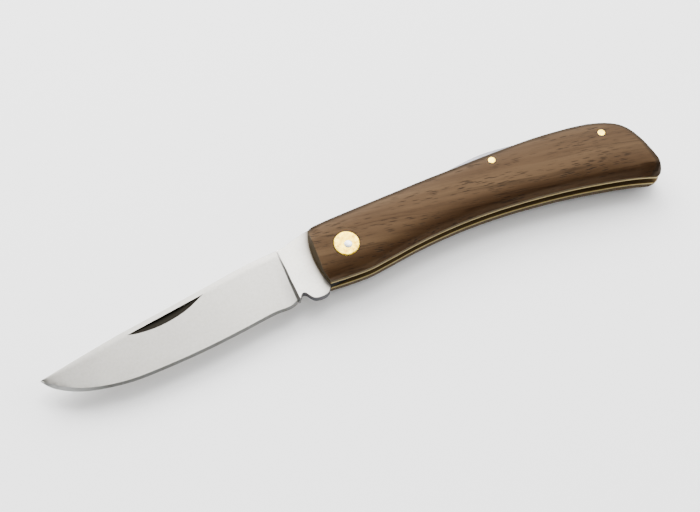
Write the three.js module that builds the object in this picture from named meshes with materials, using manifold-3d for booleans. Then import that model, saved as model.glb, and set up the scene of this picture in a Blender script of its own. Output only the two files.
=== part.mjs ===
// A folding pocket knife, lying open on its side: its back spring holds the blade open or shut.
// Two wooden scales on brass liners enclose a channel, which holds the blade's tang and the back spring.
//
// Millimetres, +Z up. The origin is on the blade's pivot axis, at the surface that the knife lies on.
// +X runs from the pivot to the handle's butt, +Y to the spine, and the cutting edge faces -Y.

import * as THREE from "three";
import { mergeVertices } from "three/addons/utils/BufferGeometryUtils.js";
import Module from "manifold-3d";

const wasm = await Module();
wasm.setup();

// ---------------------------------------------------------------- driving dimensions

const scaleThick = 3.75; // each wooden scale, nominal
const linerThick = 0.8; // each brass liner
const bladeThick = 3; // the blade's full thickness, at its tang
const bladePlay = 0.05; // between the blade and each liner
const springPlay = 0.02; // between the spring and each liner
const collarProud = 0.15; // how far a pivot collar stands out of its scale
const collarThick = 1.5;
const collarRadius = 3.85;
const collarCentre = new THREE.Vector2(-0.4, 0.4); // the collars sit slightly off the pivot's axis
const pivot = new THREE.Vector2(0, 0);
const pivotPinRadius = 1.2;
const springPinRadius = 1.12;
const pinPlay = 0.04; // radial, between a pin and what it passes through

const middlePin = new THREE.Vector2(50.2, 11.2);
const endPin = new THREE.Vector2(85.1, 8.3);

// The tang: a disc round the pivot, with one flat under the spring when the blade is open and another
// when it is shut.
const camRadius = 7.9;
const flatDistance = 7.0; // from the pivot's axis to each flat
const shutAngle = THREE.MathUtils.degToRad(170.5);
const shoulderX = -6.1; // where the spring's nose meets the tang
const springFit = 0.04; // between the spring and the tang
const noseGap = 0.12; // between the spring's nose and the tang's shoulder

// The wooden scale's cross-section, as heights above its liner.
const crownHeight = 3.98; // the height that the crown rises to
const spineFade = 4.0; // how fast the crown rises from it
const spineRound = 0.12; // softness of the edge between the two
const frontCrownX = -9.5; // the front end leans back from its bowed foot to a straight edge here
const thinnest = 0.02; // the scale's height where its flank meets the outline

// The belly side has an upright foot, then a flank that leans in, and widens towards the butt.
const footHeight = [[-9, 1.3], [70, 1.2], [98, 0.6]]; // each at a place in X
const farFootHeight = [[-9, 1.8], [98, 2]]; // the far scale's foot is taller
const flankInset = [
  [-9, 0.3], [-3, 1.2], [20, 1.3], [40, 1.5], [65, 1.4], [80, 1.9], [90, 2.1], [94, 3.2], [98, 3.4],
];
const flankHeight = [[-9, 2.3], [0, 2.6], [30, 2.7], [45, 2.9], [90, 3.1], [98, 3.4]];
const bellyFade = [[-9, 2.2], [75, 2.2], [92, 4.6]]; // how fast the crown rises above the flank
// How steep the flank on the spine side is.
const spineSteepness = [[88, 2.6], [92, 2.5], [95, 2.8], [97, 3.3], [98.2, 4.5]];
const spineDrop = [[84, 1.5], [98, 0.5]]; // how far the crown has fallen above that flank

// The blade's grind.
const grindSpine = 2.86; // thickness at the spine, just ahead of the ricasso
const grindTip = 0.9; // thickness at the spine, at the point
const grindEdge = 0.5; // thickness where the edge bevel starts
const edgeFlat = 0.1; // thickness of the cutting edge itself
const bevelWidth = 0.75;
const nickDepth = 0.45;
const nickLevel = 0.96; // height of the blade's ground face by the nick, above the blade's middle plane

// Levels.
const farScaleZ = collarProud;
const farLinerZ = farScaleZ + scaleThick;
const channelZ = farLinerZ + linerThick;
const channelDepth = bladeThick + 2 * bladePlay;
const nearLinerZ = channelZ + channelDepth;
const nearScaleZ = nearLinerZ + linerThick;
const totalZ = nearScaleZ + scaleThick + collarProud;
const middleZ = totalZ / 2;

// ---------------------------------------------------------------- outlines, seen from +Z

const spineEdge = [
  [-9.4, 9.6], [-8.4, 10.2], [-5.2, 10.7], [3.8, 11.5], [15.9, 12.4], [27.9, 13.3], [39.9, 14],
  [51.9, 14.7], [63.9, 15.1], [71.9, 14.9], [78, 14.5], [84.1, 13.6], [89.1, 12], [92.6, 9.9],
  [95.1, 6.8], [97, 2.5],
  [98.2, -2], [98.8, -5.6], [98.5, -7.6], [97.4, -9.2], [96, -9.9],
];
const bellyEdge = [
  [-8.5, -8.4], [-2.4, -8.5], [4.1, -8.3], [9.6, -7.4], [21.6, -5.3], [33.6, -4], [45.6, -3.6], [57.6, -4],
  [69.6, -5], [81.6, -6.7], [89.6, -8.2], [96, -9.9],
];
const frontEdge = [[-9.4, 9.6], [-10.3, 6.4], [-10.7, 1.9], [-10.1, -3.6], [-8.5, -8.4]];

const bladeSpine = [
  [-96.2, -7.5], [-84.4, -4.8], [-72.4, -2.1], [-58.4, 0.5], [-44.4, 3.2], [-30.4, 5.9], [-23.4, 6.8],
  [-19.8, 7.2],
];
const bladeEdge = [
  [-96.2, -7.5], [-93.7, -10.3], [-89.5, -12.9], [-84.5, -14.8], [-77.5, -16.1], [-70.5, -16.6],
  [-60.5, -16.1], [-48.5, -14.9], [-36.5, -13.1], [-26.5, -11.4], [-21.3, -11.1], [-18.4, -9.9],
];
const ricassoSpine = [
  [-19.8, 7.2], [-17.6, 7.5], [-15.4, 8.4], [-12.9, 9.15], [-9.9, 10], [shoulderX, 10.35],
];
const choilAndKick = [
  [-18.4, -9.9], [-17.7, -8.6], [-17, -8.1], [-16.2, -8.4], [-15.4, -9.5], [-14.4, -10.6], [-13, -11],
  [-11, -10.9], [-9.6, -10.2], [-9, -9.2], [-8.5, -8.4],
];
const nickLine = [[-69, -2.9], [-44.5, 1.63]]; // the nail nick's upright wall, along the spine
const nickArc = [
  [-69, -2.9], [-66.7, -3.4], [-64, -3.6], [-60.8, -3.6], [-57.6, -3.25], [-54.4, -2.6], [-51.6, -1.8],
  [-48.8, -0.65], [-46.6, 0.5], [-44.5, 1.63],
];

// The spring's inner side, from the nose to the tail: it arches over the tang's kick, and is deepest at
// the pins.
const springInner = [
  [4, 7.04], [7.5, 8.35], [11.5, 9.6], [15.5, 9.4], [22, 9.1], [32, 9], [43, 8.9], [50.2, 8.6], [60, 9.2],
  [70, 8.8], [78, 7], [85, 5.4], [91.1, 3.8],
];
const springTailX = 93.8;
const springHump = 1.4; // how far the spring's back stands out of the liners, at its most
const springHumpX = 48.6;
const springHumpReach = 11;

// ---------------------------------------------------------------- curve helpers

function smooth(points, steps) {
  const curve = new THREE.CatmullRomCurve3(points.map(([x, y]) => new THREE.Vector3(x, y, 0)), false);
  return curve.getPoints(steps).map((p) => new THREE.Vector2(p.x, p.y));
}

function lengths(line) {
  const total = [0];
  for (let i = 1; i < line.length; i++) total.push(total[i - 1] + line[i].distanceTo(line[i - 1]));
  return total;
}

// The point a given share of the way along a line.
function along(line, share) {
  const total = lengths(line);
  const wanted = share * total[total.length - 1];
  let i = 1;
  while (i < line.length - 1 && total[i] < wanted) i++;
  const t = (wanted - total[i - 1]) / (total[i] - total[i - 1]);
  return line[i - 1].clone().lerp(line[i], t);
}

// The part of a line, which runs towards +X, on one side of a place in X.
function upTo(line, x) {
  const i = line.findIndex((p) => p.x >= x);
  const t = (x - line[i - 1].x) / (line[i].x - line[i - 1].x);
  return [...line.slice(0, i), line[i - 1].clone().lerp(line[i], t)];
}

function from(line, x) {
  const before = upTo(line, x);
  return [before[before.length - 1], ...line.slice(before.length - 1)];
}

function distance(point, line) {
  const nearest = new THREE.Vector3();
  const probe = new THREE.Vector3(point.x, point.y, 0);
  let least = Infinity;
  for (let i = 1; i < line.length; i++) {
    const segment = new THREE.Line3(
      new THREE.Vector3(line[i - 1].x, line[i - 1].y, 0),
      new THREE.Vector3(line[i].x, line[i].y, 0),
    );
    segment.closestPointToPoint(probe, true, nearest);
    least = Math.min(least, nearest.distanceTo(probe));
  }
  return least;
}

// ---------------------------------------------------------------- solid helpers

function solidOf(geometry) {
  const unshaded = geometry.clone();
  unshaded.deleteAttribute("normal");
  unshaded.deleteAttribute("uv");
  const merged = mergeVertices(unshaded, 1e-4);
  return new wasm.Manifold(new wasm.Mesh({
    numProp: 3,
    vertProperties: new Float32Array(merged.attributes.position.array),
    triVerts: new Uint32Array(merged.index.array),
  }));
}

function geometryOf(solid) {
  const mesh = solid.getMesh();
  const geometry = new THREE.BufferGeometry();
  geometry.setAttribute("position", new THREE.BufferAttribute(mesh.vertProperties, 3));
  geometry.setIndex(new THREE.BufferAttribute(mesh.triVerts, 1));
  geometry.computeVertexNormals();
  return geometry;
}

function plate(outline, bottomZ, thickness, holes = []) {
  const shape = new THREE.Shape(outline);
  for (const { at, radius } of holes) shape.holes.push(new THREE.Path(circle(at, radius, 24)));
  const geometry = new THREE.ExtrudeGeometry(shape, { depth: thickness, bevelEnabled: false });
  return geometry.translate(0, 0, bottomZ);
}

function circle(at, radius, segments) {
  return Array.from({ length: segments }, (_, i) => {
    const angle = (2 * Math.PI * i) / segments;
    return new THREE.Vector2(Math.cos(angle), Math.sin(angle)).multiplyScalar(radius).add(at);
  });
}

function disc(at, radius, bottomZ, topZ, segments = 24) {
  const geometry = new THREE.CylinderGeometry(radius, radius, topZ - bottomZ, segments);
  return geometry.rotateX(Math.PI / 2).translate(at.x, at.y, (bottomZ + topZ) / 2);
}

// A solid through a row of cross-sections, each a ring of [x, y, z] with the same number of points.
function loft(rings) {
  const count = rings[0].length;
  const positions = rings.flat(2);
  const faces = [];
  for (let i = 0; i + 1 < rings.length; i++) {
    for (let j = 0; j < count; j++) {
      const a = i * count + j;
      const b = i * count + ((j + 1) % count);
      faces.push(a, b, b + count, a, b + count, a + count);
    }
  }
  const last = (rings.length - 1) * count;
  for (let j = 1; j + 1 < count; j++) {
    faces.push(0, j + 1, j, last, last + j, last + j + 1);
  }
  const geometry = new THREE.BufferGeometry();
  geometry.setAttribute("position", new THREE.Float32BufferAttribute(positions, 3));
  geometry.setIndex(faces);
  return geometry;
}

// A solid between two lattices of points, one above the other.
function slab(base, top) {
  const rowCount = base.length;
  const columnCount = base[0].length;
  const size = rowCount * columnCount;
  const faces = [];
  const quad = (a, b, c, d) => faces.push(a, b, c, a, c, d);
  const at = (i, j) => i * columnCount + j;
  for (let i = 0; i + 1 < rowCount; i++) {
    for (let j = 0; j + 1 < columnCount; j++) {
      quad(at(i, j), at(i, j + 1), at(i + 1, j + 1), at(i + 1, j));
      quad(size + at(i, j), size + at(i + 1, j), size + at(i + 1, j + 1), size + at(i, j + 1));
    }
    const [a, b] = [at(i, 0), at(i + 1, 0)];
    const [c, d] = [at(i, columnCount - 1), at(i + 1, columnCount - 1)];
    quad(a, b, size + b, size + a);
    quad(d, c, size + c, size + d);
  }
  for (let j = 0; j + 1 < columnCount; j++) {
    const [a, b, c, d] = [at(0, j), at(0, j + 1), at(rowCount - 1, j), at(rowCount - 1, j + 1)];
    quad(b, a, size + a, size + b);
    quad(c, d, size + d, size + c);
  }
  const geometry = new THREE.BufferGeometry();
  geometry.setAttribute("position", new THREE.Float32BufferAttribute([...base, ...top].flat(2), 3));
  geometry.setIndex(faces);
  return geometry;
}

// The same geometry on the other side of the knife's middle plane.
function mirrored(geometry) {
  const other = geometry.clone();
  other.scale(1, 1, -1).translate(0, 0, 2 * middleZ);
  const index = other.index.array;
  for (let i = 0; i < index.length; i += 3) [index[i], index[i + 1]] = [index[i + 1], index[i]];
  other.computeVertexNormals();
  return other;
}

// ---------------------------------------------------------------- handle

const spineLine = smooth(spineEdge, 76);
const bellyLine = smooth(bellyEdge, 44);
const frontLine = smooth(frontEdge, 8);
const handleOutline = [
  ...spineLine, ...bellyLine.slice(0, -1).reverse(), ...frontLine.slice(1, -1).reverse(),
];

function between(x, stops) {
  const last = stops.length - 1;
  const i = Math.max(1, stops.findIndex(([at]) => x < at));
  if (x >= stops[last][0]) return stops[last][1];
  if (x <= stops[0][0]) return stops[0][1];
  return THREE.MathUtils.mapLinear(x, stops[i - 1][0], stops[i][0], stops[i - 1][1], stops[i][1]);
}

// The lesser of two heights, rounded where they cross.
function softMin(a, b) {
  return Math.min(a, b) - spineRound * Math.log(1 + Math.exp(-Math.abs(a - b) / spineRound));
}

// The scale's height above its liner at a point of the outline's inside.
function scaleHeight(point, feet = footHeight) {
  const fromBelly = distance(point, bellyLine);
  const fromSpine = distance(point, spineLine);
  const foot = between(point.x, feet);
  const inset = between(point.x, flankInset);
  const flank = between(point.x, flankHeight);
  const belly = fromBelly < inset
    ? foot + (flank - foot) * (fromBelly / inset)
    : crownHeight - (crownHeight - flank) * Math.exp((inset - fromBelly) / between(point.x, bellyFade));
  const drop = between(point.x, spineDrop) * Math.exp(-fromSpine / spineFade);
  const spine = softMin(between(point.x, spineSteepness) * fromSpine, crownHeight - drop);
  return (belly * spine) / crownHeight;
}

// The scale stands on a lattice of rows across the handle; the rows fan round the butt beyond fanX.
function scaleSolid(feet) {
  const fanX = 76;
  const straightCount = 15;
  const fanCount = 14;
  const shares = [0, 0.035, 0.09, 0.15, 0.22, 0.33, 0.5, 0.7, 0.86, 0.94, 0.975, 1];
  const spineFront = upTo(spineLine, fanX);
  const bellyFront = upTo(bellyLine, fanX);
  const spineButt = from(spineLine, fanX);
  const bellyButt = from(bellyLine, fanX);
  const ends = [];
  for (let i = 1; i <= straightCount; i++) {
    ends.push([along(bellyFront, i / straightCount), along(spineFront, i / straightCount)]);
  }
  for (let i = 1; i <= fanCount; i++) {
    const share = Math.min(0.985, i / fanCount);
    ends.push([along(bellyButt, share), along(spineButt, share)]);
  }
  const front = shares.map((share) => along(frontLine, 1 - share));
  const across = ends.map(([belly, spine]) => shares.map((share) => belly.clone().lerp(spine, share)));
  const rows = [front, ...across];
  const base = rows.map((row) => row.map(({ x, y }) => [x, y, nearScaleZ]));
  const top = rows.map((row, i) => row.map((point) => {
    const height = Math.max(thinnest, scaleHeight(point, feet));
    const leaned = i === 0 ? Math.max(point.x, frontCrownX) : point.x;
    const x = THREE.MathUtils.lerp(point.x, leaned, height / crownHeight);
    return [x, point.y, nearScaleZ + height];
  }));
  return solidOf(slab(base, top));
}

// A scale as it lies on the near liner.
function scale(feet) {
  const seatZ = totalZ - collarThick - pinPlay;
  const holes = [
    disc(collarCentre, collarRadius + pinPlay, seatZ, totalZ + 1, 32),
    disc(pivot, pivotPinRadius + pinPlay, nearScaleZ - 1, totalZ),
    disc(middlePin, springPinRadius + pinPlay, nearScaleZ - 1, totalZ),
    disc(endPin, springPinRadius + pinPlay, nearScaleZ - 1, totalZ),
  ];
  return geometryOf(holes.reduce((solid, hole) => solid.subtract(solidOf(hole)), scaleSolid(feet)));
}

function liner(bottomZ) {
  return plate(handleOutline, bottomZ, linerThick, [
    { at: pivot, radius: pivotPinRadius + pinPlay },
    { at: middlePin, radius: springPinRadius + pinPlay },
    { at: endPin, radius: springPinRadius + pinPlay },
  ]);
}

// A washer with a chamfered rim, whose hole is on the pivot's axis.
function collar() {
  const chamfer = 0.12;
  const ring = (radius, z) => circle(collarCentre, radius, 32).map(({ x, y }) => [x, y, z]);
  const body = loft([
    ring(collarRadius, totalZ - collarThick),
    ring(collarRadius, totalZ - chamfer),
    ring(collarRadius - chamfer, totalZ),
  ]);
  const hole = disc(pivot, pivotPinRadius + pinPlay, totalZ - collarThick - 1, totalZ + 1);
  return geometryOf(solidOf(body).subtract(solidOf(hole)));
}

// A spring pin, filed flush with the scales, so that its ends follow their crowns.
function springPin(at) {
  const outline = circle(at, springPinRadius, 24);
  const height = (point) => nearScaleZ - middleZ + scaleHeight(point);
  const end = (side) => outline.map((point) => [point.x, point.y, middleZ + side * height(point)]);
  return loft([end(-1), end(1)]);
}

// ---------------------------------------------------------------- back spring

function springOutline() {
  const nose = shoulderX + noseGap;
  const hump = (x) => springHump * Math.exp(-(((x - springHumpX) / springHumpReach) ** 2));
  const outer = upTo(from(spineLine, nose), springTailX).map((p) => new THREE.Vector2(p.x, p.y + hump(p.x)));
  const inner = smooth(springInner, 48).reverse();
  return [...outer, ...inner, new THREE.Vector2(nose, flatDistance + springFit)];
}

function backSpring() {
  return plate(springOutline(), channelZ + springPlay, channelDepth - 2 * springPlay, [
    { at: middlePin, radius: springPinRadius + pinPlay },
    { at: endPin, radius: springPinRadius + pinPlay },
  ]);
}

// ---------------------------------------------------------------- blade

// The tang and ricasso, at full thickness, from the plunge line back.
function tangOutline() {
  const flatHalf = Math.sqrt(camRadius ** 2 - flatDistance ** 2);
  const half = Math.atan2(flatHalf, flatDistance);
  const shutFlat = Math.PI / 2 - shutAngle;
  const cam = new THREE.Path().absarc(0, 0, camRadius, shutFlat + half, Math.PI / 2 - half, false);
  const shutStart = new THREE.Vector2(Math.cos(shutFlat - half), Math.sin(shutFlat - half));
  return [
    ...smooth(choilAndKick, 27),
    shutStart.multiplyScalar(camRadius),
    ...cam.getPoints(20),
    new THREE.Vector2(shoulderX, flatDistance),
    ...smooth(ricassoSpine, 12).reverse(),
  ];
}

// The ground blade: full thickness at the spine, thin at the edge bevel, tapering towards the point.
function groundBlade() {
  const stations = 26;
  const pointShare = 0.012; // the first cross-section is this far from the point
  const spine = smooth(bladeSpine, 60);
  const edge = smooth(bladeEdge, 90);
  const rings = [];
  for (let i = 0; i <= stations; i++) {
    const share = THREE.MathUtils.lerp(pointShare, 1, i / stations);
    const back = along(spine, share);
    const front = along(edge, share);
    const width = back.distanceTo(front);
    const full = THREE.MathUtils.lerp(grindTip, grindSpine, Math.sqrt(share));
    const thin = Math.min(grindEdge, full * 0.7);
    const bevel = front.clone().lerp(back, Math.min(0.4, bevelWidth / width)); // narrower at the point
    const level = (point, thickness) => [point.x, point.y, middleZ + thickness / 2];
    rings.push([
      level(back, full), level(bevel, thin), level(front, edgeFlat),
      level(front, -edgeFlat), level(bevel, -thin), level(back, -full),
    ]);
  }
  // One more cross-section inside the tang, so that the two overlap.
  const tangX = -14;
  const overlap = 0.2;
  const inwards = ([x, y, z]) => [THREE.MathUtils.lerp(x, tangX, overlap), y * (1 - overlap), z];
  return loft([...rings, rings[rings.length - 1].map(inwards)]);
}

// The nail nick: deepest at its straight wall and running out at its curved side.
function nailNick() {
  const faceZ = middleZ + nickLevel;
  const fullWidth = 2.2; // the nick is at its full depth where it is wider than this
  const wall = nickLine.map(([x, y]) => new THREE.Vector2(x, y));
  const arc = smooth(nickArc, 14);
  const rings = arc.map((low, i) => {
    const high = wall[0].clone().lerp(wall[1], i / (arc.length - 1));
    const depth = nickDepth * Math.min(1, high.distanceTo(low) / fullWidth);
    const foot = new THREE.Vector2(low.x, low.y - 0.01);
    return [
      [foot.x, foot.y, faceZ + 1], [foot.x, foot.y, faceZ],
      [high.x, high.y, faceZ - depth], [high.x, high.y, faceZ + 1],
    ];
  });
  return loft(rings);
}

function blade() {
  const tang = solidOf(plate(tangOutline(), middleZ - bladeThick / 2, bladeThick, [
    { at: pivot, radius: pivotPinRadius + pinPlay },
  ]));
  const whole = tang.add(solidOf(groundBlade()));
  return geometryOf(whole.subtract(solidOf(nailNick())));
}

// ---------------------------------------------------------------- the knife

const brass = { color: 0xd8b562, roughness: 0.3, metalness: 1 };
const steel = { color: 0xc9c7c2, roughness: 0.28, metalness: 1 };
const walnut = { color: 0x6b4a32, roughness: 0.45, metalness: 0 };

const knife = new THREE.Group();
function add(name, geometry, material) {
  const mesh = new THREE.Mesh(geometry, new THREE.MeshStandardMaterial(material));
  mesh.name = name;
  knife.add(mesh);
}

add("near_scale", scale(footHeight), walnut);
add("far_scale", mirrored(scale(farFootHeight)), walnut);
add("near_liner", liner(nearLinerZ), brass);
add("far_liner", liner(farLinerZ), brass);
const collarGeometry = collar();
add("near_pivot_collar", collarGeometry, brass);
add("far_pivot_collar", mirrored(collarGeometry), brass);
add("pivot_pin", disc(pivot, pivotPinRadius, 0, totalZ), steel);
add("middle_spring_pin", springPin(middlePin), brass);
add("end_spring_pin", springPin(endPin), brass);
add("back_spring", backSpring(), steel);
add("blade", blade(), steel);

export default knife;
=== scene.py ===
# A folding pocket knife, lying open on a pale floor.
# The knife is drawn in millimetres, which MM turns into metres. Floor, lights and camera are in metres.

import math

import bmesh
import bpy
import numpy as np
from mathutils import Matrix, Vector
from mathutils.geometry import delaunay_2d_cdt


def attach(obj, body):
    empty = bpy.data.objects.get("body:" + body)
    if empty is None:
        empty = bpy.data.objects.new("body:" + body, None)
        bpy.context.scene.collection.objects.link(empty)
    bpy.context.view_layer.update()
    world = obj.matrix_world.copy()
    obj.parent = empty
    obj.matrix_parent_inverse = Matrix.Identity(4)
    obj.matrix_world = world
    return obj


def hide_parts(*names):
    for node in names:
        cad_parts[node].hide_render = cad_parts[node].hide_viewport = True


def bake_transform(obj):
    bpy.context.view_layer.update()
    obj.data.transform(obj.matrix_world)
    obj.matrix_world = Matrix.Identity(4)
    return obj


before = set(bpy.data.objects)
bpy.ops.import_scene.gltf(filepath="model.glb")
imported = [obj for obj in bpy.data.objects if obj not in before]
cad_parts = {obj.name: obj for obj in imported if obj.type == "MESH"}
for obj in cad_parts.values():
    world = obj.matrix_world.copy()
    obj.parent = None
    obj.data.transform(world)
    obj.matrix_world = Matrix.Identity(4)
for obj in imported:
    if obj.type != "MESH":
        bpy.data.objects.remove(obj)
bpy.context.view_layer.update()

MM = 0.001

# ------------------------------------------------------------------ levels and outlines, as in the CAD

PROUD = 0.15  # how far the collars stand out of the CAD's scales
SCALE, LINER, BLADE, CHANNEL_PLAY = 3.75, 0.8, 3.0, 0.1
FAR_LINER = PROUD + SCALE
CHANNEL = FAR_LINER + LINER
NEAR_LINER = CHANNEL + BLADE + CHANNEL_PLAY
NEAR_SCALE = NEAR_LINER + LINER
TOTAL = NEAR_SCALE + SCALE + PROUD
MIDDLE = TOTAL / 2

COLLAR_R, PIVOT_R, PIN_R = 3.85, 1.2, 1.12
COLLAR_PLAY, COLLAR_PIN_PLAY, PIN_PLAY = 0.06, 0.03, 0.04
PIVOT = (0, 0)
COLLAR = (-0.4, 0.4)
PINS = {"middle_spring_pin": (50.2, 11.2), "end_spring_pin": (85.1, 8.3)}

SHOULDER_X, NOSE_GAP = -6.1, 0.12  # the tang's shoulder, and the spring's nose behind it
CAM_R, FLAT, SHUT = 7.9, 7.0, math.radians(170.5)

SPINE_EDGE = [
    (-9.4, 9.6), (-8.4, 10.2), (-5.2, 10.7), (3.8, 11.5), (15.9, 12.4), (27.9, 13.3), (39.9, 14),
    (51.9, 14.7), (63.9, 15.1), (71.9, 14.9), (78, 14.5), (84.1, 13.6), (89.1, 12), (92.6, 9.9),
    (95.1, 6.8), (97, 2.5), (98.2, -2), (98.8, -5.6), (98.5, -7.6), (97.4, -9.2), (96, -9.9),
]
BELLY_EDGE = [
    (-8.5, -8.4), (-2.4, -8.5), (4.1, -8.3), (9.6, -7.4), (21.6, -5.3), (33.6, -4), (45.6, -3.6),
    (57.6, -4), (69.6, -5), (81.6, -6.7), (89.6, -8.2), (96, -9.9),
]
FRONT_EDGE = [(-9.4, 9.6), (-10.3, 6.4), (-10.7, 1.9), (-10.1, -3.6), (-8.5, -8.4)]
BLADE_SPINE = [
    (-96.2, -7.5), (-84.4, -4.8), (-72.4, -2.1), (-58.4, 0.5), (-44.4, 3.2), (-30.4, 5.9), (-23.4, 6.8),
    (-19.8, 7.2),
]
BLADE_EDGE = [
    (-96.2, -7.5), (-93.7, -10.3), (-89.5, -12.9), (-84.5, -14.8), (-77.5, -16.1), (-70.5, -16.6),
    (-60.5, -16.1), (-48.5, -14.9), (-36.5, -13.1), (-26.5, -11.4), (-21.3, -11.1), (-18.4, -9.9),
]
RICASSO_SPINE = [
    (-19.8, 7.2), (-17.6, 7.5), (-15.4, 8.4), (-12.9, 9.15), (-9.9, 10), (SHOULDER_X, 10.35),
]
CHOIL_AND_KICK = [
    (-18.4, -9.9), (-17.7, -8.6), (-17, -8.1), (-16.2, -8.4), (-15.4, -9.5), (-14.4, -10.6), (-13, -11),
    (-11, -10.9), (-9.6, -10.2), (-9, -9.2), (-8.5, -8.4),
]
PLUNGE = [(-19.8, 7.3), (-19.6, 3.9), (-19.2, 0.4), (-19, -2.6), (-18.7, -5.6), (-18.3, -9.9)]
NICK_WALL = [(-69, -2.9), (-44.5, 1.63)]
NICK_ARC = [
    (-69, -2.9), (-66.7, -3.4), (-64, -3.6), (-60.8, -3.6), (-57.6, -3.25), (-54.4, -2.6), (-51.6, -1.8),
    (-48.8, -0.65), (-46.6, 0.5), (-44.5, 1.63),
]
SPRING_INNER = [
    (4, 7.04), (7.5, 8.35), (11.5, 9.6), (15.5, 9.4), (22, 9.1), (32, 9), (43, 8.9), (50.2, 8.6), (60, 9.2),
    (70, 8.8), (78, 7), (85, 5.4), (91.1, 3.8),
]

# ------------------------------------------------------------------ lines and rings of points


def smooth(points, step=0.5):
    """Points a step apart along a centripetal curve through the given ones, as the CAD's curves are."""
    p = np.array(points, float)
    ends = np.vstack([2 * p[0] - p[1], p, 2 * p[-1] - p[-2]])
    out = []
    for i in range(1, len(ends) - 2):
        p0, p1, p2, p3 = ends[i - 1 : i + 3]
        d = [max(np.linalg.norm(b - a), 1e-4) ** 0.5 for a, b in ((p0, p1), (p1, p2), (p2, p3))]
        m1 = (p1 - p0) / d[0] - (p2 - p0) / (d[0] + d[1]) + (p2 - p1) / d[1]
        m2 = (p2 - p1) / d[1] - (p3 - p1) / (d[1] + d[2]) + (p3 - p2) / d[2]
        m1, m2 = m1 * d[1], m2 * d[1]
        n = max(2, math.ceil(np.linalg.norm(p2 - p1) / step))
        for t in np.arange(n) / n:
            start = (2 * t**3 - 3 * t**2 + 1) * p1 + (t**3 - 2 * t**2 + t) * m1
            out.append(start + (3 * t**2 - 2 * t**3) * p2 + (t**3 - t**2) * m2)
    return np.array(out + [p[-1]])


def circle(at, radius, count=64):
    t = np.arange(count) * 2 * math.pi / count
    return np.stack([at[0] + radius * np.cos(t), at[1] + radius * np.sin(t)], 1)


def closed(ring):
    """A ring as a line that comes back to its first point."""
    return np.vstack([ring, ring[:1]])


def area(ring):
    x, y = ring[:, 0], ring[:, 1]
    return 0.5 * (x * np.roll(y, -1) - np.roll(x, -1) * y).sum()


def left_of(tangent):
    """Unit vectors that point to the left of the given ones."""
    return np.stack([-tangent[:, 1], tangent[:, 0]], 1) / np.linalg.norm(tangent, axis=1)[:, None]


def away(points, line):
    """Each point's distance from a line of points."""
    a, b = line[:-1], line[1:]
    ab = b - a
    t = np.clip(((points[:, None] - a) * ab).sum(2) / np.maximum((ab * ab).sum(1), 1e-12), 0, 1)
    return np.sqrt((((a + ab * t[:, :, None]) - points[:, None]) ** 2).sum(2)).min(1)


def inside(points, ring):
    """True for the points inside a ring."""
    x, y = points[:, 0, None], points[:, 1, None]
    a, b = ring, np.roll(ring, -1, 0)
    crosses = (a[:, 1] > y) != (b[:, 1] > y)
    slope = np.where(b[:, 1] == a[:, 1], 1e-12, b[:, 1] - a[:, 1])
    at = a[:, 0] + (y - a[:, 1]) / slope * (b[:, 0] - a[:, 0])
    return ((crosses & (x < at)).sum(1) % 2) == 1


def y_on(line, x):
    """A line's y at each x, for a line that runs in +X."""
    return np.interp(x, line[:, 0], line[:, 1])


def x_on(line, y):
    """A line's x at each y, for a line that runs in -Y."""
    return np.interp(y, line[::-1, 1], line[::-1, 0])


def between(x, stops):
    """A value read off a short table of (x, value)."""
    return np.interp(x, *zip(*stops))


SPINE = smooth(SPINE_EDGE)
BELLY = smooth(BELLY_EDGE)
FRONT = smooth(FRONT_EDGE)
HANDLE = np.vstack([SPINE, BELLY[:-1][::-1], FRONT[1:-1][::-1]])
PIN_HOLES = [circle(at, PIN_R + PIN_PLAY) for at in PINS.values()]
PIVOT_HOLE = circle(PIVOT, PIVOT_R + PIN_PLAY)

# ------------------------------------------------------------------ meshes

CLEAR_OF_LINES, ROW_ROUND_HOLES = 0.12, 0.15
ON_LINE = 0.01


def fill(ring, holes=(), lines=(), spacing=0.6, insets=(0.08,)):
    """Triangles inside a ring, in rows inset from it, with round holes and with edges along the lines."""
    ring = ring if area(ring) > 0 else ring[::-1]
    low, high = ring.min(0), ring.max(0)
    columns, rows = (np.arange(low[i], high[i], spacing) for i in (0, 1))
    grid = np.stack(np.meshgrid(columns, rows), 2).reshape(-1, 2)
    grid[:, 0] += (np.round((grid[:, 1] - low[1]) / spacing) % 2) * spacing / 2
    grid = grid[inside(grid, ring)]
    seeds = [grid[away(grid, closed(ring)) > max(insets) + spacing * 0.5]]
    inward = left_of(np.roll(ring, -1, 0) - np.roll(ring, 1, 0))
    for inset in insets:
        row = ring + inward * inset
        row = row[inside(row, ring)]
        seeds.append(row[away(row, closed(ring)) > inset * 0.97])
    seeds = np.vstack(seeds)
    for hole in holes:
        middle, radius = hole.mean(0), np.linalg.norm(hole[0] - hole.mean(0))
        seeds = seeds[np.linalg.norm(seeds - middle, axis=1) > radius + CLEAR_OF_LINES]
        seeds = np.vstack([seeds, circle(middle, radius + ROW_ROUND_HOLES, len(hole))])
    for line in lines:
        seeds = seeds[away(seeds, line) > CLEAR_OF_LINES]

    points, edges = [], []
    for loop in (ring, *holes):
        start = len(points)
        points += [tuple(p) for p in loop]
        edges += [(start + i, start + (i + 1) % len(loop)) for i in range(len(loop))]
    for line in lines:
        start = len(points)
        points += [tuple(p) for p in line]
        edges += [(start + i, start + i + 1) for i in range(len(line) - 1)]
    points += [tuple(p) for p in seeds]
    found = delaunay_2d_cdt([Vector(p) for p in points], edges, [], 0, 1e-5)
    xy = np.array([tuple(v) for v in found[0]])
    faces = np.array([f for f in found[2] if len(f) == 3])
    centre = xy[faces].mean(1)
    keep = inside(centre, ring)
    for hole in holes:
        keep &= ~inside(centre, hole)
    return xy, faces[keep]


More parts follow.
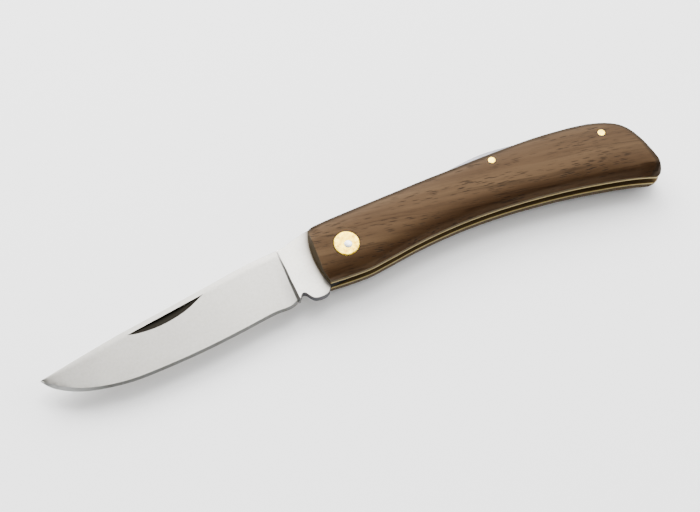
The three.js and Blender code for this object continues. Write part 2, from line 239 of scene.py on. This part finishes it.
def rims(faces):
    """The directed edges that only one triangle has."""
    edges = {}
    for f in faces:
        for a, b in ((f[0], f[1]), (f[1], f[2]), (f[2], f[0])):
            edges[(int(a), int(b))] = True
    return [e for e in edges if (e[1], e[0]) not in edges]


def piece(name, verts, faces, body, slot, sharp, creases=()):
    """A smooth mesh, sharp above an angle and along the creases. It replaces the node of its name."""
    mesh = bpy.data.meshes.new(name)
    mesh.from_pydata([tuple(v) for v in verts], [], [tuple(int(i) for i in f) for f in faces])
    mesh.validate()
    work = bmesh.new()
    work.from_mesh(mesh)
    bmesh.ops.remove_doubles(work, verts=work.verts, dist=1e-7)
    bmesh.ops.recalc_face_normals(work, faces=work.faces)
    work.to_mesh(mesh)
    work.free()
    for polygon in mesh.polygons:
        polygon.use_smooth = True
    mesh.set_sharp_from_angle(angle=math.radians(sharp))
    flat = np.array([v.co[:2] for v in mesh.vertices]) / MM
    for crease in creases:
        on = away(flat, crease) < ON_LINE
        for edge in mesh.edges:
            if on[edge.vertices[0]] and on[edge.vertices[1]]:
                edge.use_edge_sharp = True
    item = bpy.data.objects.new(name, mesh)
    bpy.context.scene.collection.objects.link(item)
    item.data.materials.append(MATERIALS[slot])
    if body:
        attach(item, body)
    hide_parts(name)
    return item


def solid(name, xy, faces, levels, body, slot, sharp=32, lean=(0, 0), creases=()):
    """A closed piece between a top and a bottom level over the same triangles. Each may lean along X."""
    count = len(xy)
    halves = []
    for level, shift in zip(levels, lean):
        half = np.column_stack([xy, np.broadcast_to(level, count)])
        half[:, 0] += shift
        halves.append(half)
    tris = [tuple(f) for f in faces] + [tuple(f[::-1] + count) for f in faces]
    for a, b in rims(faces):
        tris.append((a, a + count, b + count, b))
    return piece(name, np.vstack(halves) * MM, tris, body, slot, sharp, creases)


def turned(name, profile, body, slot, sharp=32, count=96):
    """A piece turned about the Z axis from a closed profile of (radius, height)."""
    verts, faces = [], []
    for i in range(count):
        t = 2 * math.pi * i / count
        verts += [(r * math.cos(t) * MM, r * math.sin(t) * MM, h * MM) for r, h in profile]
    n = len(profile)
    for i in range(count):
        for j in range(n):
            a, b = i * n + j, i * n + (j + 1) % n
            c, d = ((i + 1) % count) * n + (j + 1) % n, ((i + 1) % count) * n + j
            faces.append((a, b, c, d))
    return piece(name, verts, faces, body, slot, sharp)


def shade(item, name, values):
    """A number at each vertex, which a material reads by name; both faces of a solid have the same."""
    layer = item.data.attributes.new(name, "FLOAT", "POINT")
    layer.data.foreach_set("value", np.tile(values, 2).astype(np.float32))


def on_side(side, inner, outer):
    """The top and bottom of something from inner to outer, on the near side (1) or the far side (-1)."""
    return (outer, inner)[::side]


def edge_ease(points, line, depth=0.08, reach=0.08):
    """How much a level eases off towards a line, which takes the sharpness off an edge."""
    return depth * np.clip(1 - away(points, line) / reach, 0, 1)


# ------------------------------------------------------------------ the scales' cross-section

CROWN, SPINE_FADE, SPINE_ROUND = 3.98, 4.0, 0.12
FRONT_CROWN, FRONT_REACH = -9.5, 4.0
FOOT_HEIGHT = [(-9, 1.3), (70, 1.2), (98, 0.6)]
FAR_FOOT_HEIGHT = [(-9, 1.8), (98, 2.0)]
FLANK_INSET = [
    (-9, 0.3), (-3, 1.2), (20, 1.3), (40, 1.5), (65, 1.4), (80, 1.9), (90, 2.1), (94, 3.2), (98, 3.4),
]
FLANK_HEIGHT = [(-9, 2.3), (0, 2.6), (30, 2.7), (45, 2.9), (90, 3.1), (98, 3.4)]
BELLY_FADE = [(-9, 2.2), (75, 2.2), (92, 4.6)]
SPINE_STEEPNESS = [(88, 2.6), (92, 2.5), (95, 2.8), (97, 3.3), (98.2, 4.5)]
SPINE_DROP = [(84, 1.5), (98, 0.5)]


def scale_height(points, feet=FOOT_HEIGHT):
    """The scale's height above its liner: foot and flank on the belly side, and a crown that rounds off."""
    x = points[:, 0]
    from_belly, from_spine = away(points, BELLY), away(points, SPINE)
    foot, inset, flank = between(x, feet), between(x, FLANK_INSET), between(x, FLANK_HEIGHT)
    belly = np.where(
        from_belly < inset,
        foot + (flank - foot) * from_belly / inset,
        CROWN - (CROWN - flank) * np.exp((inset - from_belly) / between(x, BELLY_FADE)),
    )
    side = between(x, SPINE_STEEPNESS) * from_spine
    crown = CROWN - between(x, SPINE_DROP) * np.exp(-from_spine / SPINE_FADE)
    spine = np.minimum(side, crown) - SPINE_ROUND * np.log(1 + np.exp(-np.abs(side - crown) / SPINE_ROUND))
    return belly * spine / CROWN


def front_lean(points, height):
    """How far a point near the front end leans back from its foot."""
    edge = x_on(FRONT, points[:, 1])
    reach = np.clip(1 - (points[:, 0] - edge) / FRONT_REACH, 0, 1)
    return reach * np.maximum(FRONT_CROWN - edge, 0) * height / CROWN


# ------------------------------------------------------------------ materials


class Nodes:
    """A short way to add nodes to a tree."""

    def __init__(self, tree):
        self.tree = tree

    def put(self, value, socket):
        """Link an input or set it. A colour of three numbers gets full alpha."""
        if isinstance(value, bpy.types.NodeSocket):
            self.tree.links.new(value, socket)
        elif socket.type == "RGBA" and len(value) == 3:
            socket.default_value = (*value, 1)
        else:
            socket.default_value = value

    def add(self, kind, inputs=(), **settings):
        node = self.tree.nodes.new(kind)
        for key, value in settings.items():
            setattr(node, key, value)
        for key, value in dict(inputs).items():
            self.put(value, node.inputs[key])
        return node

    def math(self, operation, a, b=0.0, clamp=False):
        return self.add("ShaderNodeMath", {0: a, 1: b}, operation=operation, use_clamp=clamp).outputs[0]

    def plus(self, a, b, clamp=False):
        return self.math("ADD", a, b, clamp)

    def times(self, a, b):
        return self.math("MULTIPLY", a, b)

    def vector(self, operation, a, b):
        return self.add("ShaderNodeVectorMath", {0: a, 1: b}, operation=operation).outputs["Vector"]

    def ramp(self, value, *stops):
        node = self.add("ShaderNodeValToRGB", {"Fac": value})
        ramp = node.color_ramp
        while len(ramp.elements) < len(stops):
            ramp.elements.new(0.5)
        for element, (at, colour) in zip(ramp.elements, stops):
            element.position = at
            element.color = (*colour, 1)
        return node.outputs["Color"]

    def grey(self, value, *stops):
        return self.ramp(value, *[(at, (level, level, level)) for at, level in stops])

    def layered(self, colour, *layers):
        """A colour with others laid over it in turn, each given as (share, colour)."""
        for share, over in layers:
            colour = self.add("ShaderNodeMix", {0: share, 6: colour, 7: over}, data_type="RGBA").outputs[2]
        return colour


class Material(Nodes):
    """A material, with patterns that stay fixed to the piece."""

    def __init__(self, name):
        self.material = bpy.data.materials.new(name)
        self.material.use_nodes = True
        super().__init__(self.material.node_tree)
        self.place = self.add("ShaderNodeTexCoord").outputs["Object"]

    def coords(self, scale=(1, 1, 1), turn=0.0):
        return self.add(
            "ShaderNodeMapping", {"Vector": self.place, "Scale": scale, "Rotation": (0, 0, turn)}
        ).outputs[0]

    def noise(self, vector, scale=1.0, detail=3.0, rough=0.5):
        return self.add(
            "ShaderNodeTexNoise", {"Vector": vector, "Scale": scale, "Detail": detail, "Roughness": rough}
        ).outputs["Fac"]

    def bump(self, height, strength, distance):
        inputs = {"Height": height, "Strength": strength, "Distance": distance}
        return self.add("ShaderNodeBump", inputs).outputs[0]

    def painted(self, name):
        """The numbers that shade() wrote on the piece."""
        return self.add("ShaderNodeAttribute", attribute_name=name).outputs["Fac"]

    def link(self, **values):
        shader = self.tree.nodes["Principled BSDF"]
        for key, value in values.items():
            self.put(value, shader.inputs[key.replace("_", " ")])
        return self.material


def metal(
    name, colour, rough, stretch, scratches=0.06, turn=0.0, mottle=0.35, stain=(0.8, 0.74, 0.6), mark=None,
    blots=1300.0,
):
    """Ground or polished metal: scratches stretched one way, uneven gloss, stains, and a painted mark."""
    n = Material(name)
    scratch = n.noise(n.coords(stretch, turn), detail=2.0, rough=0.6)
    cloud = n.noise(n.coords(), 220.0)
    spots = n.grey(n.noise(n.coords(), blots, 3.0, 0.6), (0.38, 0.0), (0.66, 1.0))
    tint = n.layered(
        colour,
        (n.times(cloud, 0.35), tuple(c * 0.82 for c in colour)),
        (n.times(spots, mottle), tuple(c * left for c, left in zip(colour, stain))),
    )
    if mark:
        painted_name, painted_colour = mark
        tint = n.layered(tint, (n.painted(painted_name), painted_colour))
    uneven = n.plus(n.times(scratch, 0.14), n.times(cloud, 0.10))
    return n.link(
        Base_Color=tint, Metallic=1.0, Roughness=n.plus(uneven, rough - 0.12, clamp=True),
        Normal=n.bump(scratch, scratches, 0.00004),
    )


GRAIN_TURN, GRAIN_SWAY = 0.125, 0.004


def walnut():
    """Oiled walnut: soft bands, fine fibres, and short dark pores along the grain, with a brown sheen."""
    n = Material("oiled_walnut")
    warp = n.noise(n.coords((9, 50, 50), GRAIN_TURN))
    sway = n.times(n.math("SUBTRACT", warp, 0.5), GRAIN_SWAY)
    sideways = n.add("ShaderNodeCombineXYZ", {"Y": sway}).outputs[0]
    grain = n.vector("ADD", n.coords(turn=GRAIN_TURN), sideways)

    def stretched(along, across):
        scale = (along, across, across)
        return n.add("ShaderNodeMapping", {"Vector": grain, "Scale": scale}).outputs[0]

    band = n.noise(stretched(10, 190), rough=0.55)
    streak = n.noise(stretched(30, 900), detail=2.0)
    fibre = n.noise(stretched(110, 2600), rough=0.6)
    patch = n.noise(stretched(45, 260), detail=2.0)
    ring = n.noise(stretched(9, 300), detail=2.0)
    cells = n.add("ShaderNodeTexVoronoi", {"Vector": stretched(230, 2200), "Scale": 1.0, "Randomness": 1.0})
    from_cell = cells.outputs["Distance"]
    from_ring = n.math("ABSOLUTE", n.math("SUBTRACT", ring, 0.5))
    pore = n.times(n.grey(from_cell, (0.20, 1.0), (0.36, 0.0)), n.grey(patch, (0.32, 0.0), (0.60, 1.0)))
    vein = n.times(n.grey(from_ring, (0.0, 1.0), (0.022, 0.0)), n.grey(streak, (0.40, 0.0), (0.60, 1.0)))
    # Painted shade in a strip along the spine edge, read here, darkens and roughens the wood.
    rim, end = n.painted("rim"), n.painted("end")

    dark, brown, pale = (0.015, 0.0065, 0.0028), (0.023, 0.0112, 0.005), (0.031, 0.0162, 0.0072)
    colour = n.layered(
        n.ramp(band, (0.30, dark), (0.50, brown), (0.72, pale)),
        (n.grey(streak, (0.42, 0.0), (0.72, 0.40)), (0.012, 0.0055, 0.0025)),
        (n.grey(fibre, (0.35, 0.0), (0.75, 0.35)), (0.011, 0.005, 0.0022)),
        (n.times(vein, 0.6), (0.006, 0.0028, 0.0014)),
        (n.times(pore, 0.95), (0.002, 0.001, 0.0006)),
        (n.times(rim, 0.8), (0.004, 0.0025, 0.0018)),
        (end, (0.042, 0.031, 0.016)),
    )
    sheen = n.layered(
        (0.78, 0.50, 0.27),
        (n.grey(band, (0.36, 0.0), (0.62, 1.0)), (1.0, 0.67, 0.37)),
        (n.grey(streak, (0.45, 0.0), (0.75, 0.4)), (0.45, 0.29, 0.16)),
        (n.times(vein, 0.6), (0.3, 0.2, 0.11)),
        (n.times(pore, 0.55), (0.26, 0.155, 0.075)),
    )
    rough = n.plus(n.times(fibre, 0.16), n.times(n.math("MAXIMUM", pore, end), 0.3))
    rough = n.plus(n.plus(rough, n.times(rim, 0.25)), 0.27, clamp=True)
    hollow = n.math("MAXIMUM", pore, n.times(vein, 0.5))
    height = n.math("SUBTRACT", n.times(fibre, 0.35), hollow)
    return n.link(
        Base_Color=colour, Roughness=rough, Normal=n.bump(height, 0.35, 0.00006), Specular_IOR_Level=0.245,
        Specular_Tint=sheen,
    )


STEEL_GRIND, BRASS_GRIND = (60, 5200, 5200), (90, 3000, 3000)
STEEL_POLISH, BRASS_POLISH = (2500, 2500, 2500), (1400, 500, 500)

MATERIALS = {
    # The blade's mark is a painted reflection of the dark handle and painted shade, by the handle and
    # before the plunge.
    "blade": metal(
        "satin_steel", (0.485, 0.470, 0.435), 0.34, STEEL_GRIND, scratches=0.10, turn=0.2, mottle=0.55,
        stain=(0.82, 0.81, 0.78), mark=("steel_shade", (0.05, 0.04, 0.03)),
    ),
    # The bevel's darker steel is a painted dark reflection, painted lighter towards the tip.
    "edge": metal(
        "bevel_dark_reflection_steel", (0.30, 0.30, 0.295), 0.36, STEEL_GRIND, scratches=0.12, mottle=0.4,
        mark=("lighter_bevel", (0.75, 0.75, 0.73)),
    ),
    # Painted dark reflection on the choil's and kick's walls.
    "kick": metal("kick_dark_reflection_steel", (0.06, 0.06, 0.07), 0.35, STEEL_GRIND, scratches=0.12),
    # Near-black steel: painted shade in the nick's hollow and inside the channel.
    "nick": metal("black_shade_steel", (0.010, 0.009, 0.007), 0.6, STEEL_GRIND, scratches=0.10, turn=0.2),
    # Darker brass for the liners' faces: tarnish, and painted shade inside the channel.
    "inside": metal("tarnished_shaded_brass", (0.075, 0.050, 0.024), 0.5, BRASS_GRIND, scratches=0.08),
    "spring": metal("spring_steel", (0.13, 0.13, 0.145), 0.36, STEEL_GRIND, scratches=0.08),
    "liners": metal("liner_brass", (0.32, 0.25, 0.105), 0.38, BRASS_GRIND, scratches=0.08),
    "scales": walnut(),
    "pivot": metal("pin_steel", (0.50, 0.50, 0.50), 0.30, STEEL_POLISH),
    "collars": metal(
        "collar_brass", (0.86, 0.62, 0.07), 0.27, BRASS_POLISH, scratches=0.14, turn=0.6, mottle=1.0,
        stain=(0.52, 0.42, 0.12), blots=800.0,
    ),
    "spring_pins": metal(
        "pin_brass", (0.92, 0.66, 0.075), 0.24, BRASS_POLISH, scratches=0.12, turn=0.6, mottle=0.6,
        stain=(0.7, 0.6, 0.25),
    ),
}

# ------------------------------------------------------------------ handle

SCALE_ROWS = (0.06, 0.15, 0.28, 0.45, 0.7, 1.0, 1.3, 1.8, 2.4)
THINNEST_SCALE = 0.02
SPINE_SHADE_WIDTH, SPINE_SHADE_FADE = 2.15, 0.35  # a strip along the spine, darkened with painted shade
COLLAR_DEPTH, COLLAR_ROUND, COLLAR_DROP = 1.5, 0.34, 0.28
COLLAR_ROWS = (0.03, 0.08, 0.15, 0.24, 0.34)
PIN_PROUD, PIN_ROUND, PIN_DROP = 0.04, 0.12, 0.07
PIVOT_PIN_END = [(0.001, 0.0), (1.0, 0.01), (PIVOT_R, 0.07)]


def make_scales():
    collar_hole = circle(COLLAR, COLLAR_R + COLLAR_PLAY, 128)
    xy, faces = fill(HANDLE, [collar_hole, *PIN_HOLES], insets=SCALE_ROWS)
    # Painted shade in a strip along the spine edge of the scales.
    rim = np.clip((SPINE_SHADE_WIDTH - away(xy, SPINE)) / SPINE_SHADE_FADE, 0, 1)
    foot = NEAR_SCALE - MIDDLE
    for side, name, feet in ((1, "near_scale", FOOT_HEIGHT), (-1, "far_scale", FAR_FOOT_HEIGHT)):
        height = np.maximum(scale_height(xy, feet), THINNEST_SCALE)
        levels = on_side(side, MIDDLE + side * foot, MIDDLE + side * (foot + height))
        lean = on_side(side, 0, front_lean(xy, height))
        scale = solid(name, xy, faces, levels, "handle", "scales", lean=lean)
        shade(scale, "rim", rim)
        shade(scale, "end", away(xy, closed(HANDLE)) < ON_LINE)


def make_liners():
    """Bright along their edges, and darker on their faces, which show inside the channel: tarnish, and
    painted shade.
    """
    xy, faces = fill(HANDLE, [PIVOT_HOLE, *PIN_HOLES], spacing=3.0)
    ease = edge_ease(xy, closed(HANDLE))
    for name, z in (("near_liner", NEAR_LINER), ("far_liner", FAR_LINER)):
        liner = solid(name, xy, faces, (z + LINER - ease, z + ease), "handle", "liners", sharp=50)
        # The flat faces take the darker brass: tarnish, with painted shade of the channel.
        liner.data.materials.append(MATERIALS["inside"])
        for polygon in liner.data.polygons:
            polygon.material_index = 1 if abs(polygon.normal.z) > 0.9 else 0


def make_collars():
    pin_hole = circle(PIVOT, PIVOT_R + COLLAR_PIN_PLAY)
    xy, faces = fill(circle(COLLAR, COLLAR_R, 128), [pin_hole], spacing=0.4, insets=COLLAR_ROWS)
    from_rim = COLLAR_R - np.linalg.norm(xy - np.array(COLLAR), axis=1)
    drop = COLLAR_DROP * (1 - np.sqrt(1 - np.clip(1 - from_rim / COLLAR_ROUND, 0, 1) ** 2))
    for side, name in ((1, "near_pivot_collar"), (-1, "far_pivot_collar")):
        levels = on_side(side, MIDDLE + side * (MIDDLE - COLLAR_DEPTH), MIDDLE + side * (MIDDLE - drop))
        solid(name, xy, faces, levels, "handle", "collars", sharp=50)


def make_spring_pins():
    for name, at in PINS.items():
        xy, faces = fill(circle(at, PIN_R, 64), spacing=0.25, insets=(0.05, 0.12))
        from_axis = np.linalg.norm(xy - np.array(at), axis=1)
        drop = PIN_DROP * np.clip((from_axis - PIN_R + PIN_ROUND) / PIN_ROUND, 0, 1) ** 2
        high = NEAR_SCALE - MIDDLE + scale_height(xy) - (drop - PIN_PROUD)
        solid(name, xy, faces, (MIDDLE + high, MIDDLE - high), "handle", "spring_pins", sharp=50)


make_scales()
make_liners()
make_collars()
far_end = [(r, TOTAL - z) for r, z in reversed(PIVOT_PIN_END)]
turned("pivot_pin", PIVOT_PIN_END + far_end, "handle", "pivot")
make_spring_pins()

# ------------------------------------------------------------------ back spring

SPRING_END_X = 93.8
HUMP_HEIGHT, HUMP_X, HUMP_WIDTH = 1.4, 48.6, 11  # the spring's back stands out of the liners here
SPRING_PLAY = 0.02


def spring_outline():
    nose = SHOULDER_X + NOSE_GAP
    back = SPINE[(SPINE[:, 0] > nose) & (SPINE[:, 0] < SPRING_END_X) & (SPINE[:, 1] > 0)]
    back[:, 1] += HUMP_HEIGHT * np.exp(-(((back[:, 0] - HUMP_X) / HUMP_WIDTH) ** 2))
    top, bottom = (nose, y_on(SPINE[:20], nose)), (nose, FLAT + PIN_PLAY)
    return np.vstack([top, back, smooth(SPRING_INNER)[::-1], bottom])


outline = spring_outline()
xy, faces = fill(outline, PIN_HOLES, spacing=1.2)
ease = edge_ease(xy, closed(outline))
levels = (NEAR_LINER - SPRING_PLAY - ease, CHANNEL + SPRING_PLAY + ease)
spring = solid("back_spring", xy, faces, levels, None, "spring", sharp=50)
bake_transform(spring)

# ------------------------------------------------------------------ blade

TIP_X, GROUND_LENGTH = BLADE_SPINE[0][0], 76.4
TIP_THICK, HEEL_THICKER = 0.9, 1.96  # the spine's thickness at the tip, and what the heel adds
TIP_SOFTENING = 0.002  # keeps the taper's slope finite at the tip
BEHIND_EDGE, EDGE = 0.30, 0.02  # half thicknesses
SPINE_FLAT, SPINE_FLAT_SHARE = 1.6, 0.1
BEVEL, TIP_BEVEL, TIP_BEVEL_ENDS = 0.85, 1.1, (-88, -78)
BEVEL_SPREAD, LEAST_BEVEL = 0.3, 0.02  # how fast the bevel widens from the tip
PLUNGE_WALL, PLUNGE_WALL_AT = (0.98, 0.5), (-9, 6)  # the wall's width near the edge and near the spine
PLUNGE_RISE, PLUNGE_RUN = 0.2, 4
NICK_DEPTH, NICK_FULL_WIDTH, NICK_CURVE = 0.75, 2.4, 0.8
NICK_FOOT_INSET, NICK_FOOT_POINTS = 0.12, 55
CHOIL_X, HIDDEN_X = CHOIL_AND_KICK[0][0], -8.8  # from one, the lower edge takes a painted dark reflection; from the other, painted shade
# Painted shade on the blade: a dark band by the handle for the wood's reflection and shade, and a little
# before the plunge's wall.
HANDLE_SHADE, HANDLE_SHADE_FADE = 0.96, 2.0
PLUNGE_SHADE, PLUNGE_SHADE_FADE = 0.16, 1.8
LIGHTER_BEVEL_X, LIGHTER_BEVEL_FADE = -78, 10  # the bevel's steel is painted lighter from here to the tip
STEELS = ("blade", "nick", "edge", "kick")  # the blade's materials, by their index


def blade_profile():
    """The whole blade's outline: edge, choil, kick, the tang's two flats and cam, and the spine."""
    half_flat = math.atan2(math.sqrt(CAM_R**2 - FLAT**2), FLAT)
    up = math.pi / 2
    cam_angles = [up - SHUT - half_flat, *np.linspace(up - SHUT + half_flat, up - half_flat, 60)]
    cam = [(CAM_R * math.cos(t), CAM_R * math.sin(t)) for t in cam_angles]
    kick, ricasso = smooth(CHOIL_AND_KICK, 0.25), smooth(RICASSO_SPINE, 0.3)[::-1]
    tang = np.vstack([kick, cam, [(SHOULDER_X, FLAT)], ricasso])
    return np.vstack([blade_edge, tang[1:-1], blade_spine[::-1][:-1]])


def bevel_line():
    """The line where the edge's bevel starts, which runs out at the tip."""
    from_tip = np.linalg.norm(blade_edge - blade_edge[0], axis=1)
    width = np.clip(from_tip * BEVEL_SPREAD, LEAST_BEVEL, TIP_BEVEL)
    width = np.minimum(width, np.interp(blade_edge[:, 0], TIP_BEVEL_ENDS, (TIP_BEVEL, BEVEL)))
    return (blade_edge + left_of(np.gradient(blade_edge, axis=0)) * width[:, None])[2:-1]


def nick_foot():
    """A line just under the nail nick's wall, where the nick is deepest."""
    middle = nick.mean(0)
    foot = middle + (nick_wall - middle) * np.array([0.975, 1.0]) - np.array([0, NICK_FOOT_INSET])
    return foot[2:][:NICK_FOOT_POINTS]


def plunge_lines():
    """Three lines on the ground face before the plunge, then its wall's foot, middle and top."""
    wall = np.interp(plunge[:, 1], PLUNGE_WALL_AT, PLUNGE_WALL)
    for shift in (-3.2, -2.2, -1.4, -wall, -wall * 0.5, 0):
        line = plunge.copy()
        line[:, 0] += shift
        line = line[1:-1]
        yield line[inside(line, profile) & (away(line, closed(profile)) > 0.1)]


def blade_half(points):
    """Half the blade's thickness at each point."""
    x, y = points[:, 0], points[:, 1]
    spine_y, edge_y = y_on(blade_spine, x), y_on(blade_edge, x)
    share = np.clip((x - TIP_X) / GROUND_LENGTH, 0, 1)
    full = 0.5 * (TIP_THICK + HEEL_THICKER * np.sqrt(share + TIP_SOFTENING))
    thin = np.minimum(BEHIND_EDGE, full * 0.7)
    flat = np.minimum(SPINE_FLAT, SPINE_FLAT_SHARE * (spine_y - edge_y))
    across = np.clip((spine_y - flat - y) / np.maximum(spine_y - flat - edge_y - BEVEL, 0.3), 0, 1)
    ground = full + (thin - full) * across
    from_edge = away(points, blade_edge)
    up_bevel = from_edge / np.maximum(from_edge + away(points, bevel), 1e-6)
    in_bevel = inside(points, bevel_band) | (up_bevel < 1e-3)
    ground = np.where(in_bevel, EDGE + (thin - EDGE) * up_bevel, ground)
    plunge_x = x_on(plunge, y)
    wall = np.interp(y, PLUNGE_WALL_AT, PLUNGE_WALL)
    ground += PLUNGE_RISE * across * np.clip((x - plunge_x + PLUNGE_RUN) / (PLUNGE_RUN - wall), 0, 1) ** 2
    up_wall = np.clip((x - plunge_x + wall) / wall, 0, 1)
    return ground + (BLADE / 2 - ground) * up_wall


def nick_depth(points):
    """The nail nick, deepest along its wall and running out at its arc."""
    arc_y = y_on(nick_arc, points[:, 0])
    gap = np.maximum(y_on(nick_wall, points[:, 0]) - arc_y, 1e-6)
    share = np.clip((points[:, 1] - arc_y) / gap, 0, 1) ** NICK_CURVE
    within = inside(points, nick) & (away(points, closed(nick)) > 0.02)
    return np.where(within, NICK_DEPTH * np.minimum(1, gap / NICK_FULL_WIDTH) * share, 0)


def painted_blade_shade(points):
    """The share of painted shade at each point: most by the handle, where it stands for the wood's dark
    reflection and its shade, and a little before the plunge's wall.
    """
    x, y = points[:, 0], points[:, 1]
    before_handle, before_plunge = x_on(FRONT, y) - x, x_on(plunge, y) - x
    by_handle = HANDLE_SHADE * np.exp(-np.maximum(before_handle, 0) / HANDLE_SHADE_FADE)
    by_plunge = np.where(before_plunge > 0, PLUNGE_SHADE * np.exp(-before_plunge / PLUNGE_SHADE_FADE), 0)
    return np.maximum(by_handle, by_plunge)


def choose_steels(mesh):
    """Each face's material: satin sides; painted shade in the nick and on the edge hidden in the channel;
    painted dark reflection on the honed bevel and on the choil's and kick's walls.
    """
    centres = np.array([polygon.center for polygon in mesh.polygons]) / MM
    upright = np.array([abs(polygon.normal.z) < 0.5 for polygon in mesh.polygons])
    x, y, z = centres.T
    # The walls below, from the choil on, take a painted dark reflection.
    below = upright & (x > CHOIL_X) & (y < 0)
    # Painted shade: the nick's hollow and the edge hidden in the channel are near-black.
    dark = (inside(centres[:, :2], nick) & (z > MIDDLE)) | (below & (x > HIDDEN_X))
    # The honed bevel takes the darker steel, a painted dark reflection.
    honed = inside(centres[:, :2], bevel_band)
    steels = [STEELS.index(name) for name in ("nick", "edge", "kick")]
    mesh.polygons.foreach_set("material_index", np.select([dark, honed, below], steels, 0).astype(np.int32))


blade_spine, blade_edge = smooth(BLADE_SPINE), smooth(BLADE_EDGE)
plunge = smooth(PLUNGE, 0.3)
profile = blade_profile()
bevel = bevel_line()
bevel_band = np.vstack([blade_edge, bevel[::-1]])
nick_wall, nick_arc = np.linspace(NICK_WALL[0], NICK_WALL[1], 60), smooth(NICK_ARC, 0.4)
nick = np.vstack([nick_wall, nick_arc[::-1][1:-1]])
*ground_lines, wall_foot, wall_middle, wall_top = plunge_lines()

lines = [bevel, closed(nick), nick_foot(), *ground_lines, wall_foot, wall_middle, wall_top]
xy, faces = fill(profile, [PIVOT_HOLE], lines, insets=(0.08, 0.25, 0.5))
half = blade_half(xy)
ease = edge_ease(xy, np.vstack([blade_spine, smooth(RICASSO_SPINE)]), depth=0.07)
levels = (MIDDLE + (half - ease - nick_depth(xy)), MIDDLE - half + ease)
creases = [bevel, closed(nick), wall_foot, wall_top]
blade = solid("blade", xy, faces, levels, "blade", "blade", sharp=24, creases=creases)
# Painted reflection and shade on the steel, by the handle and before the plunge.
shade(blade, "steel_shade", painted_blade_shade(xy))
# The bevel's steel is painted lighter towards the tip.
shade(blade, "lighter_bevel", np.clip((LIGHTER_BEVEL_X - xy[:, 0]) / LIGHTER_BEVEL_FADE, 0, 1))
for name in STEELS[1:]:
    blade.data.materials.append(MATERIALS[name])
choose_steels(blade.data)

# ------------------------------------------------------------------ floor, light and camera

scene = bpy.context.scene
floor_mesh = bpy.data.meshes.new("floor")
floor_mesh.from_pydata([(-3, -3, 0), (3, -3, 0), (3, 3, 0), (-3, 3, 0)], [], [(0, 1, 2, 3)])
floor = bpy.data.objects.new("floor", floor_mesh)
scene.collection.objects.link(floor)
floor.data.materials.append(Material("floor_paint").link(Base_Color=(0.9, 0.9, 0.9), Roughness=0.9))

world = bpy.data.worlds.new("studio")
scene.world = world
world.use_nodes = True
sky = Nodes(world.node_tree)
aim = sky.add("ShaderNodeTexCoord").outputs["Generated"]


def level_towards(direction, *stops):
    """The sky's brightness by how far it points one way."""
    facing = sky.add("ShaderNodeVectorMath", {0: aim, 1: direction}, operation="DOT_PRODUCT")
    return sky.grey(facing.outputs["Value"], *stops)


back_light = level_towards((0.35, 0.75, 0.5), (0.36, 0.03), (0.62, 0.25), (0.80, 0.62), (0.93, 1.0))
low_down = level_towards((0, 0, 1), (0.18, 1.0), (0.45, 0.0))
front_glow = sky.vector("MULTIPLY", level_towards((0, -1, 0), (0.45, 0.0), (0.8, 0.4)), low_down)
side_light = level_towards((1, 0, 0), (0.72, 0.0), (0.94, 1.5))
background = sky.tree.nodes["Background"].inputs
sky.put(sky.vector("ADD", sky.vector("ADD", back_light, front_glow), side_light), background["Color"])
sky.put(7.0, background["Strength"])


def softbox(name, at, size, power, aim_at=(0, 0, 0)):
    light = bpy.data.lights.new(name, "AREA")
    light.shape, light.size, light.size_y = "RECTANGLE", size[0], size[1]
    light.energy = power
    item = bpy.data.objects.new(name, light)
    item.location = at
    item.rotation_euler = (Vector(aim_at) - Vector(at)).to_track_quat("-Z", "Y").to_euler()
    scene.collection.objects.link(item)


softbox("key", (-0.07, 0.60, 0.50), (0.68, 0.39), 10.0)
softbox("overhead", (0.29, 0.31, 0.7), (0.46, 0.24), 4.2, (0.29, 0.30, 0))

CAMERA_AZIMUTH, CAMERA_ELEVATION = math.radians(-20.14), math.radians(67)
CAMERA_DISTANCE = 0.375
CAMERA_TARGET = Vector((0.03, -1.40, 6.4)) * MM

level, up = math.cos(CAMERA_ELEVATION), math.sin(CAMERA_ELEVATION)
back = Vector((math.sin(CAMERA_AZIMUTH) * level, -math.cos(CAMERA_AZIMUTH) * level, up))
camera = bpy.data.objects.new("camera", bpy.data.cameras.new("camera"))
scene.collection.objects.link(camera)
scene.camera = camera
camera.location = CAMERA_TARGET + back * CAMERA_DISTANCE
camera.rotation_mode = "QUATERNION"
camera.rotation_quaternion = (-back).to_track_quat("-Z", "Y")
camera.data.lens, camera.data.sensor_width = 65.0, 36.0
camera.data.clip_start, camera.data.clip_end = 0.01, 20.0
